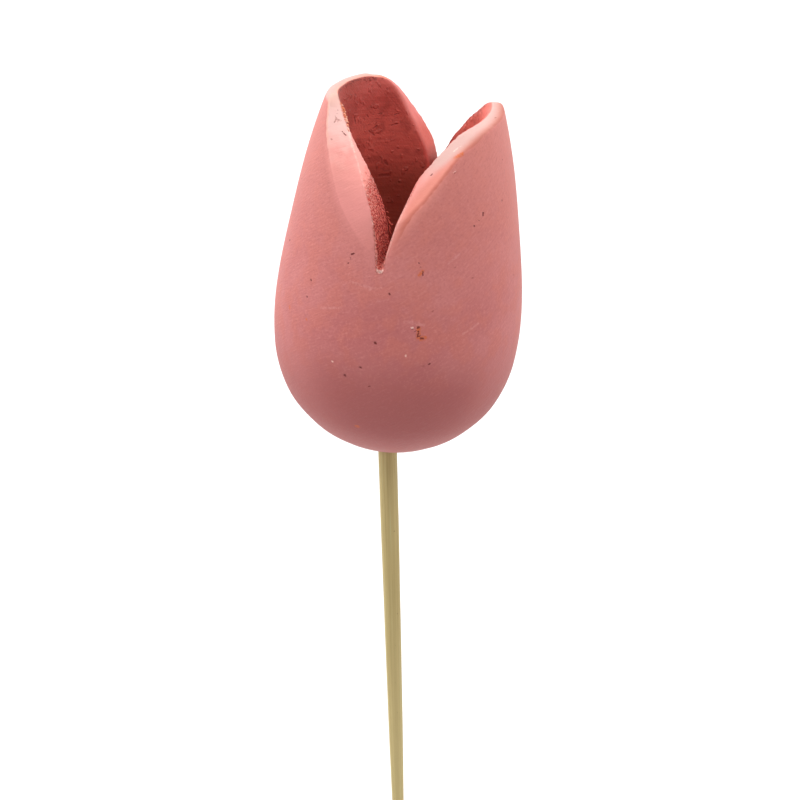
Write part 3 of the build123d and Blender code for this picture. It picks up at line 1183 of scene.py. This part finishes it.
cup_colour = coats(
    CUP_TOP,
    (by_height(57.5, 51.0), CUP_MIDDLE),
    # Painted shade: darker deep in the cup.
    (by_height(49.5, 41.0), CUP_DEEP_SHADE),
    (slope(axes["X"], 6.5, 10.0), CUP_RIGHT),
    (slope(bit_marks, 0.45, 0.75, 0.0, 0.12), BIT_MARK_PALE),
    (slope(bit_marks, 0.5, 0.25, 0.0, 0.18), BIT_MARK_DARK),
    (slope(blush, 0.5, 0.8, 0.0, 0.4), CUP_BLOTCH),
    (times(left_top_shade, 0.8), CUP_LEFT_TOP_SHADE),
    (times(lip, 0.75), CUP_LIP),
)
base = coats(base, (inside, cup_colour))
print("cup:", len(tree.nodes), "nodes")

# %% Rose paint: cut faces, smooth above and torn in the slot
CUT_TOP = (252, 168, 158)
CUT_LOW = (255, 164, 152)
BACK_CUT_TOP = (222, 122, 114)
BACK_CUT_MIDDLE = (206, 98, 84)
BACK_CUT_LOW = (166, 72, 60)
BACK_CUT_INNER = (188, 84, 74)
TORN_GROUND = (255, 154, 140)
TORN_GROUND_IN_SHADE = (255, 112, 96)
TORN_PIT = (230, 82, 70)
TORN_PIT_IN_SHADE = (158, 32, 25)
TORN_CREST = (255, 176, 162)
back_cut = coats(
    BACK_CUT_TOP,
    (by_height(53.5, 50.5), BACK_CUT_MIDDLE),
    (by_height(49.0, 45.5), BACK_CUT_LOW),
    (near("from_bore", 1.7, 0.3), BACK_CUT_INNER),
)
cut_colour = coats(CUT_TOP, (by_height(53.0, 48.0), CUT_LOW), (without(front), back_cut))
not_sanded = without(either(on_left, on_right))
left_side = slope(attribute("pass_side"), 0.4, 0.0)
low = slope(uneven(up_the_cut, 5.0), 53.4, 50.0)
torn = times(on_cut, low, front, slope(left_side, 0.0, 1.0, 0.5, 1.0), without(on_left))
fuzz = pattern(mottling, Size=0.32, Detail=2.0, Contrast=3.8)
inwards = slope(attribute("pass_along"), -16.0, -11.5)
# Painted shade deeper in the slot: darker and redder, with painted red light thrown by the slot's walls.
depth = either(
    times(slope(up_the_cut, 50.5, 45.5), 0.75), times(inwards, slope(up_the_cut, 51.5, 48.5))
)
torn_colour = coats(
    coats(TORN_GROUND, (depth, TORN_GROUND_IN_SHADE)),
    (slope(fuzz, 0.62, 0.28), coats(TORN_PIT, (depth, TORN_PIT_IN_SHADE))),
    (slope(fuzz, 0.7, 0.95, 0.0, 0.5), TORN_CREST),
)
base = coats(
    base,
    (times(on_cut, not_sanded, by_height(59.6, 58.6)), cut_colour),
    (torn, torn_colour),
)
print("cut and torn faces:", len(tree.nodes), "nodes")

# %% Rose paint: pale lines where the sandpaper caught an edge, and a painted highlight at the slot's foot
BORDER_PALE = (248, 168, 140)
LINE_PALE = (255, 214, 200)
EDGE_PALE = (255, 186, 174)
FOOT_HIGHLIGHT = (255, 206, 194)
left_border = times(along_edge("from_left", "from_skin"), by_height(52.0, 56.5))
left_line = times(
    along_edge("from_left", "from_cut"), by_height(48.0, 50.5), by_height(58.5, 57.0), front
)
slot_edge = times(along_edge("from_cut", "from_skin"), front, slope(up_the_cut, 49.5, 47.0))
right_line = times(
    along_edge("from_right", "from_cut", 0.5, 0.2),
    slope(up_the_cut, 41.5, 43.0), slope(up_the_cut, 51.0, 48.5),
)
# A painted highlight along the edge at the slot's foot.
slot_foot_highlight = times(slot_edge, slope(up_the_cut, 40.7, 40.35))
broken = slope(crumbly, 0.3, 0.7, 0.25, 1.0)
base = coats(
    base,
    (times(left_border, 0.6), BORDER_PALE),
    (times(left_line, broken, 0.6), LINE_PALE),
    (times(slot_edge, broken, 0.7), EDGE_PALE),
    (times(right_line, 0.75), EDGE_PALE),
    (times(slot_foot_highlight, 0.8), FOOT_HIGHLIGHT),
)
print("pale lines:", len(tree.nodes), "nodes")

# %% [markdown]
# ## Marks that can be pointed at
#
# These are the pinholes, scratches, rust-coloured flecks, pale specks and smears of
# the front and of the cup's far wall. Each is a short stroke from one place on the
# head to another, in millimetres, with its half width; a pinhole is a stroke with
# hardly any length. One group of nodes per stroke would make the material too big
# to render. So every vertex remembers the stroke of each kind that lies nearest to
# it, unless even that one is out of reach, and one group draws them all. Pores do
# the same for the back and the sides.

# %% Pinholes, scratches, flecks, specks and smears
DARK = [
    ((-8.4, -16.4, 39.17), (-8.12, -16.54, 39.28), 0.17),
    ((-8.9, -16.42, 37.66), (-8.8, -16.47, 37.7), 0.12),
    ((-2.3, -19.1, 34.1), (-2.2, -19.1, 34.0), 0.16), ((2.58, -19.69, 29.15), (2.6, -19.69, 29.05), 0.2),
    ((1.62, -19.81, 28.85), (1.72, -19.81, 28.85), 0.13), ((2.66, -19.78, 28.2), (2.54, -19.83, 27.6), 0.15),
    ((3.1, -19.75, 27.34), (3.4, -19.72, 27.34), 0.2), ((2.6, -18.47, 37.8), (2.66, -18.52, 37.3), 0.13),
    ((1.88, -18.34, 39.15), (1.9, -18.34, 39.1), 0.12),
    ((11.34, -13.04, 46.05), (11.32, -13.08, 45.75), 0.2),
    ((10.02, -14.44, 44.35), (10.05, -14.42, 44.3), 0.13),
    ((2.83, -13.19, 51.55), (2.95, -13.15, 51.75), 0.16),
    ((-3.9, -19.7, 26.1), (-3.8, -19.7, 26.0), 0.23), ((-5.9, -19.2, 21.6), (-5.8, -19.2, 21.6), 0.22),
    ((-8.2, -18.2, 19.7), (-8.1, -18.2, 19.65), 0.22), ((-4.3, -19.3, 18.6), (-4.2, -19.3, 18.6), 0.2),
    ((4.7, -19.57, 23.08), (4.8, -19.57, 23.15), 0.16), ((-14.4, -12.9, 33.2), (-14.35, -12.95, 33.1), 0.16),
    ((-14.9, -12.95, 30.4), (-14.85, -13.0, 30.3), 0.13),
    ((14.36, -9.24, 47.11), (14.36, -9.24, 47.0), 0.13),
    ((-11.05, -6.45, 55.5), (-10.5, -6.8, 55.0), 0.13),
]
FAINT = [
    ((3.78, -19.76, 22.76), (3.9, -19.75, 22.8), 0.2), ((7.52, -16.97, 38.39), (7.55, -16.95, 38.35), 0.12),
    ((10.37, -15.79, 36.34), (10.5, -15.7, 36.34), 0.18), ((4.55, -19.04, 31.64), (4.7, -19.0, 31.75), 0.15),
    ((-12.67, -7.72, 54.56), (-12.6, -7.75, 54.5), 0.18), ((6.3, -14.6, 52.6), (6.9, -14.35, 53.1), 0.1),
    ((12.39, -4.96, 58.94), (12.45, -4.9, 58.94), 0.2), ((-12.1, -3.7, 58.6), (-11.9, -3.9, 58.15), 0.18),
    ((-12.2, -4.9, 57.4), (-12.0, -5.1, 56.95), 0.2), ((-12.0, -5.1, 56.95), (-11.4, -5.0, 56.85), 0.2),
    ((-12.15, -5.2, 56.9), (-12.4, -5.5, 56.5), 0.16),
]
RUST = [
    ((2.6, -19.75, 28.9), (2.7, -19.8, 27.3), 0.42), ((3.0, -19.75, 27.2), (3.7, -19.7, 27.4), 0.45),
    ((2.5, -18.5, 37.9), (2.1, -18.6, 37.2), 0.36), ((-17.6, -9.6, 27.2), (-17.5, -9.7, 27.0), 0.28),
    ((-14.8, -13.5, 26.8), (-14.7, -13.6, 26.7), 0.25), ((-5.7, -16.3, 10.2), (-5.5, -16.4, 10.2), 0.4),
    ((-11.4, -2.6, 58.7), (-10.7, -4.0, 57.2), 0.45), ((6.3, -13.2, 54.7), (7.3, -13.2, 55.4), 0.42),
]
PALE = [
    ((0.93, -20.11, 24.39), (0.95, -20.11, 24.5), 0.18), ((1.5, -19.81, 29.05), (1.7, -19.81, 29.05), 0.17),
    ((-10.3, -17.3, 21.5), (-10.2, -17.3, 21.5), 0.17), ((6.1, -14.7, 52.7), (7.2, -14.2, 53.3), 0.1),
    ((6.0, -11.9, 55.2), (7.4, -11.4, 56.1), 0.12), ((6.3, -11.3, 55.5), (8.0, -10.9, 56.4), 0.1),
]
SMEARS = [
    ((-8.6, -17.3, 35.0), (-5.2, -18.6, 34.6), 0.28), ((-6.6, -18.3, 34.0), (-3.6, -18.9, 34.9), 0.22),
    ((-4.4, -19.1, 32.6), (-1.6, -19.5, 33.4), 0.2), ((0.4, -20.0, 30.0), (3.4, -19.7, 29.6), 0.35),
    ((-3.2, -18.6, 37.6), (-2.3, -18.5, 38.6), 0.2), ((6.4, -17.4, 39.0), (8.2, -16.3, 40.4), 0.2),
    ((-12.6, -15.3, 29.5), (-9.6, -17.4, 30.6), 0.25), ((9.6, -17.4, 27.6), (12.0, -15.9, 28.9), 0.25),
]
IN_THE_CUP = [
    ((-9.28, 6.27, 54.1), (-8.95, 6.75, 53.0), 0.15), ((-8.17, 7.66, 53.1), (-8.15, 7.7, 52.8), 0.17),
    ((-6.68, 8.99, 51.23), (-5.81, 9.57, 50.45), 0.17), ((-6.0, 9.45, 51.6), (-5.5, 9.75, 52.0), 0.14),
    ((-7.19, 8.59, 54.0), (-7.0, 8.75, 53.6), 0.14), ((-3.1, 10.76, 51.9), (-2.2, 10.98, 52.2), 0.13),
    ((-5.4, 9.8, 54.0), (-4.8, 10.1, 54.0), 0.11), ((-2.8, 10.84, 53.7), (-2.1, 11.0, 53.9), 0.11),
    ((-4.4, 10.3, 43.35), (-2.8, 10.85, 43.44), 0.3), ((-3.7, 10.6, 45.9), (-3.4, 10.7, 45.4), 0.3),
]
print("strokes:", [len(kind) for kind in (DARK, FAINT, RUST, PALE, SMEARS, IN_THE_CUP)])

# %% Draw the strokes
WOBBLE = (0.3, 0.3, 0.3)
STROKE_REACH = 1.0
noise = wire("ShaderNodeTexNoise", {"Vector": own, "Scale": 3.2, "Detail": 1.0}).outputs["Color"]
wobble = on_vectors("SUBTRACT", noise, (0.5, 0.5, 0.5))
wobbled = on_vectors("MULTIPLY_ADD", wobble, WOBBLE, own)


def all_strokes(name, strokes):
    """Stores the nearest stroke on each vertex, and gives the mask that draws them."""
    nearest = np.full(count, 1e9)
    start_of, end_of, width_of = np.zeros((count, 3)), np.ones((count, 3)), np.zeros(count)
    for start, end, width in strokes:
        start, whole = np.array(start), np.array(end) - np.array(start)
        share = np.clip((place - start) @ whole / (whole @ whole), 0, 1)
        away = np.linalg.norm(place - start - share[:, None] * whole, axis=1)
        closer = away < nearest
        nearest[closer], start_of[closer], end_of[closer] = away[closer], start, end
        width_of[closer] = np.where(away[closer] < width + STROKE_REACH, width, 0)
    ends = []
    for label, values in ((name + "_start", start_of), (name + "_end", end_of)):
        kept = head.data.attributes.new(label, "FLOAT_VECTOR", "POINT")
        kept.data.foreach_set("vector", values.astype(np.float32).ravel())
        ends.append(wire("ShaderNodeAttribute", attribute_name=label).outputs["Vector"])
    store(head, name + "_width", width_of)
    width = either(attribute(name + "_width"), 0.001)
    return place_group(stroke, Vector=wobbled, Start=ends[0], End=ends[1], Width=width)["Mask"]


# %% Rose paint: the marks
RUST_BROWN = (210, 102, 52)
FAINT_BROWN = (150, 66, 50)
SMEAR_PALE = (224, 160, 158)
HOLE_DARK = (100, 14, 10)
CUP_MARK_DARK = (112, 34, 30)
SPECK_PALE = (255, 214, 202)
scattered = pattern(pores, Radius=18.0, Spacing=6.5, Size=0.16, Share=0.45)
outside = without(either(inside, on_left, on_right, on_rim, on_cut))
holes = either(
    all_strokes("dark", DARK), times(scattered, slope(axes["Y"], -9.0, -6.0), outside)
)
cup_marks = times(all_strokes("in_the_cup", IN_THE_CUP), inside)
rust = times(all_strokes("rust", RUST), slope(crumbly, 0.2, 0.8, 0.45, 1.0))
smears = times(all_strokes("smear", SMEARS), slope(grit, 0.2, 0.7, 0.2, 1.0))
base = coats(
    base,
    (times(rust, 0.9), RUST_BROWN),
    (times(all_strokes("faint", FAINT), 0.55), FAINT_BROWN),
    (times(smears, 0.3), SMEAR_PALE),
    (times(holes, 0.92), HOLE_DARK),
    (times(cup_marks, 0.45), CUP_MARK_DARK),
    (times(all_strokes("pale", PALE), 0.65), SPECK_PALE),
)
print("marks:", len(tree.nodes), "nodes")

# %% Rose paint: relief and shader
# Each height is in millimetres, outwards where it is above 0.
dents = pattern(mottling, Size=3.5, Detail=2.0, Contrast=1.0)
lumps = pattern(mottling, Size=1.1, Detail=1.0, Contrast=2.4)
height = plus(
    times(scratches, 0.045),
    times(dents, 0.09),
    times(grit, 0.02),
    times(holes, -0.08),
    times(bit_marks, inside, 0.05),
    times(cup_marks, -0.06),
    times(slope(lumps, 0.72, 1.0), inside, 0.1),
    times(fuzz, torn, 0.32),
)
roughness = slope(grit, 0.2, 0.8, 0.56, 0.7)
finish_material(rose_paint, head, base, roughness, height, specular=0.42)

# %% [markdown]
# ## Raw wood
#
# The crumbs and fibres took hardly any paint, so bare wood shows, orange where it
# is thick and pale where it is thin. The sides of the slot throw red light on the
# fibres lower down. One patchy noise gives both its colour and its relief.

# %% Raw wood of the crumbs and fibres
RAW_ORANGE = (222, 124, 88)
RAW_PALE = (250, 184, 160)
RAW_IN_SLOT = (226, 112, 98)
raw_wood, own, axes = start_material("raw_wood", (0, 0, NECK * MM), (0, LEAN, 0))
patchy = pattern(mottling, Size=0.35, Detail=2.0, Contrast=3.0)
base = coats(
    RAW_ORANGE, (slope(patchy, 0.3, 0.7), RAW_PALE), (by_height(52.0, 48.0), RAW_IN_SLOT)
)
finish_material(raw_wood, edge_grains, base, 0.7, times(patchy, 0.05), specular=0.3)

# %% [markdown]
# ## Bamboo and glue
#
# Bare bamboo is straw yellow with long upright fibres, some greener and some
# browner. Close under the flower it is painted darker and pinker, as the painted
# shadow of the head with a painted pink reflection of it. The glue is amber and
# glossy, because it dried clear and is seen against dark wood.

# %% Bamboo
STRAW = (182, 160, 105)
STRAW_PALE = (197, 176, 120)
FIBRE_BROWN = (172, 150, 96)
FIBRE_GREEN = (196, 190, 138)
BAMBOO_SPECK = (130, 104, 62)
HEAD_SHADOW_ON_BAMBOO = (150, 108, 84)
STRAW_LOW = (206, 186, 130)
UPRIGHT = radians(90)
bamboo, own, axes = start_material("bamboo", (0, 0, 0), (0, 0, 0))
fibres = pattern(streaks, Radius=1.5, Slant=UPRIGHT, Length=26.0, Width=0.3, Detail=3.0)
bands = pattern(streaks, Radius=1.5, Slant=UPRIGHT, Length=60.0, Width=1.1, Detail=1.0)
specks = pattern(pores, Radius=1.5, Spacing=4.0, Size=0.1, Share=0.35)
base = coats(
    STRAW,
    (slope(bands, 0.3, 0.7), STRAW_PALE),
    (slope(fibres, 0.5, 0.75, 0.0, 0.7), FIBRE_BROWN),
    (slope(fibres, 0.42, 0.2, 0.0, 0.6), FIBRE_GREEN),
    (times(specks, 0.5), BAMBOO_SPECK),
    # Painted shadow of the head, with a painted pink reflection of it.
    (by_height(137.8, 140.2, 0.0, 0.55), HEAD_SHADOW_ON_BAMBOO),
    (by_height(118.0, 78.0, 0.0, 0.6), STRAW_LOW),
)
roughness = slope(fibres, 0.2, 0.8, 0.5, 0.66)
finish_material(bamboo, stick, base, roughness, times(fibres, 0.05), specular=0.4)

# %% Glue
AMBER = (186, 148, 92)
AMBER_PALE = (214, 182, 130)
glue, own, axes = start_material("dried_glue", (0, 0, NECK * MM), (0, LEAN, 0))
haze = pattern(mottling, Size=1.2, Detail=2.0, Contrast=1.6)
base = coats(AMBER, (slope(haze, 0.2, 0.8), AMBER_PALE))
roughness = slope(haze, 0.2, 0.8, 0.18, 0.32)
finish_material(glue, drop, base, roughness, times(haze, 0.08), specular=0.5)

# %% [markdown]
# ## Floor, backdrop and light
#
# The flower stands in a bright tent: white on every side, so that its own sides
# catch more light than its middle, which faces the dark camera. Large soft suns
# copy the tent's walls and shine evenly however far away things are. The floor is
# pale, and a camera ray sees a little light added to it, which takes it to white
# without lighting the flower. Its shadow stays.

# %% Floor
FLOOR_GREY = (0.5, 0.5, 0.5, 1)
FLOOR_LIFT = 0.45
WHITE = (1, 1, 1, 1)
start_fresh()
bpy.ops.mesh.primitive_plane_add(size=12)
floor = bpy.context.object
floor.name = "floor"
white_floor = bpy.data.materials.new("white_floor")
fresh_nodes(white_floor)
matte = wire("ShaderNodeBsdfDiffuse", {"Color": FLOOR_GREY}).outputs[0]
rays = wire("ShaderNodeLightPath").outputs
seen = either(rays["Is Camera Ray"], rays["Is Glossy Ray"], rays["Is Transmission Ray"])
lift = {"Color": WHITE, "Strength": times(seen, FLOOR_LIFT)}
glow = wire("ShaderNodeEmission", lift).outputs[0]
total = wire("ShaderNodeAddShader", {0: matte, 1: glow}).outputs[0]
wire("ShaderNodeOutputMaterial", {"Surface": total})
floor.data.materials.append(white_floor)
print("floor:", len(tree.nodes), "nodes")

# %% World
TENT = 0.25
tent = bpy.data.worlds.new("tent")
bpy.context.scene.world = tent
fresh_nodes(tent)
rays = wire("ShaderNodeLightPath").outputs
seen = either(rays["Is Camera Ray"], rays["Is Transmission Ray"])
sky = {"Color": WHITE, "Strength": slope(seen, 0.0, 1.0, TENT, 1.0)}
wire("ShaderNodeOutputWorld", {"Surface": wire("ShaderNodeBackground", sky).outputs[0]})
print("tent:", len(tree.nodes), "nodes")

# %% Lights
SUNS = [
    # name, from the right, from the back, from above, strength, width in degrees
    ("tent_roof", 0.0, 0.0, 1.0, 2.85, 100),
    ("left_wall", -0.9, 0.3, 0.3, 2.2, 90),
    ("right_wall", 0.9, 0.4, 0.2, 1.8, 90),
    ("back_wall", -0.3, 0.95, 0.1, 1.3, 90),
]
for name, x, y, z, strength, width in SUNS:
    bpy.ops.object.light_add(type="SUN")
    lamp = bpy.context.object
    lamp.name = name
    lamp.data.energy = strength
    lamp.data.angle = radians(width)
    lamp.rotation_euler = Vector((x, y, z)).to_track_quat("Z", "Y").to_euler()
print("lights:", [row[0] for row in SUNS])

# %% [markdown]
# ## The view transform
#
# The view transform is set to Standard.

# %% View transform
bpy.context.scene.view_settings.view_transform = "Standard"
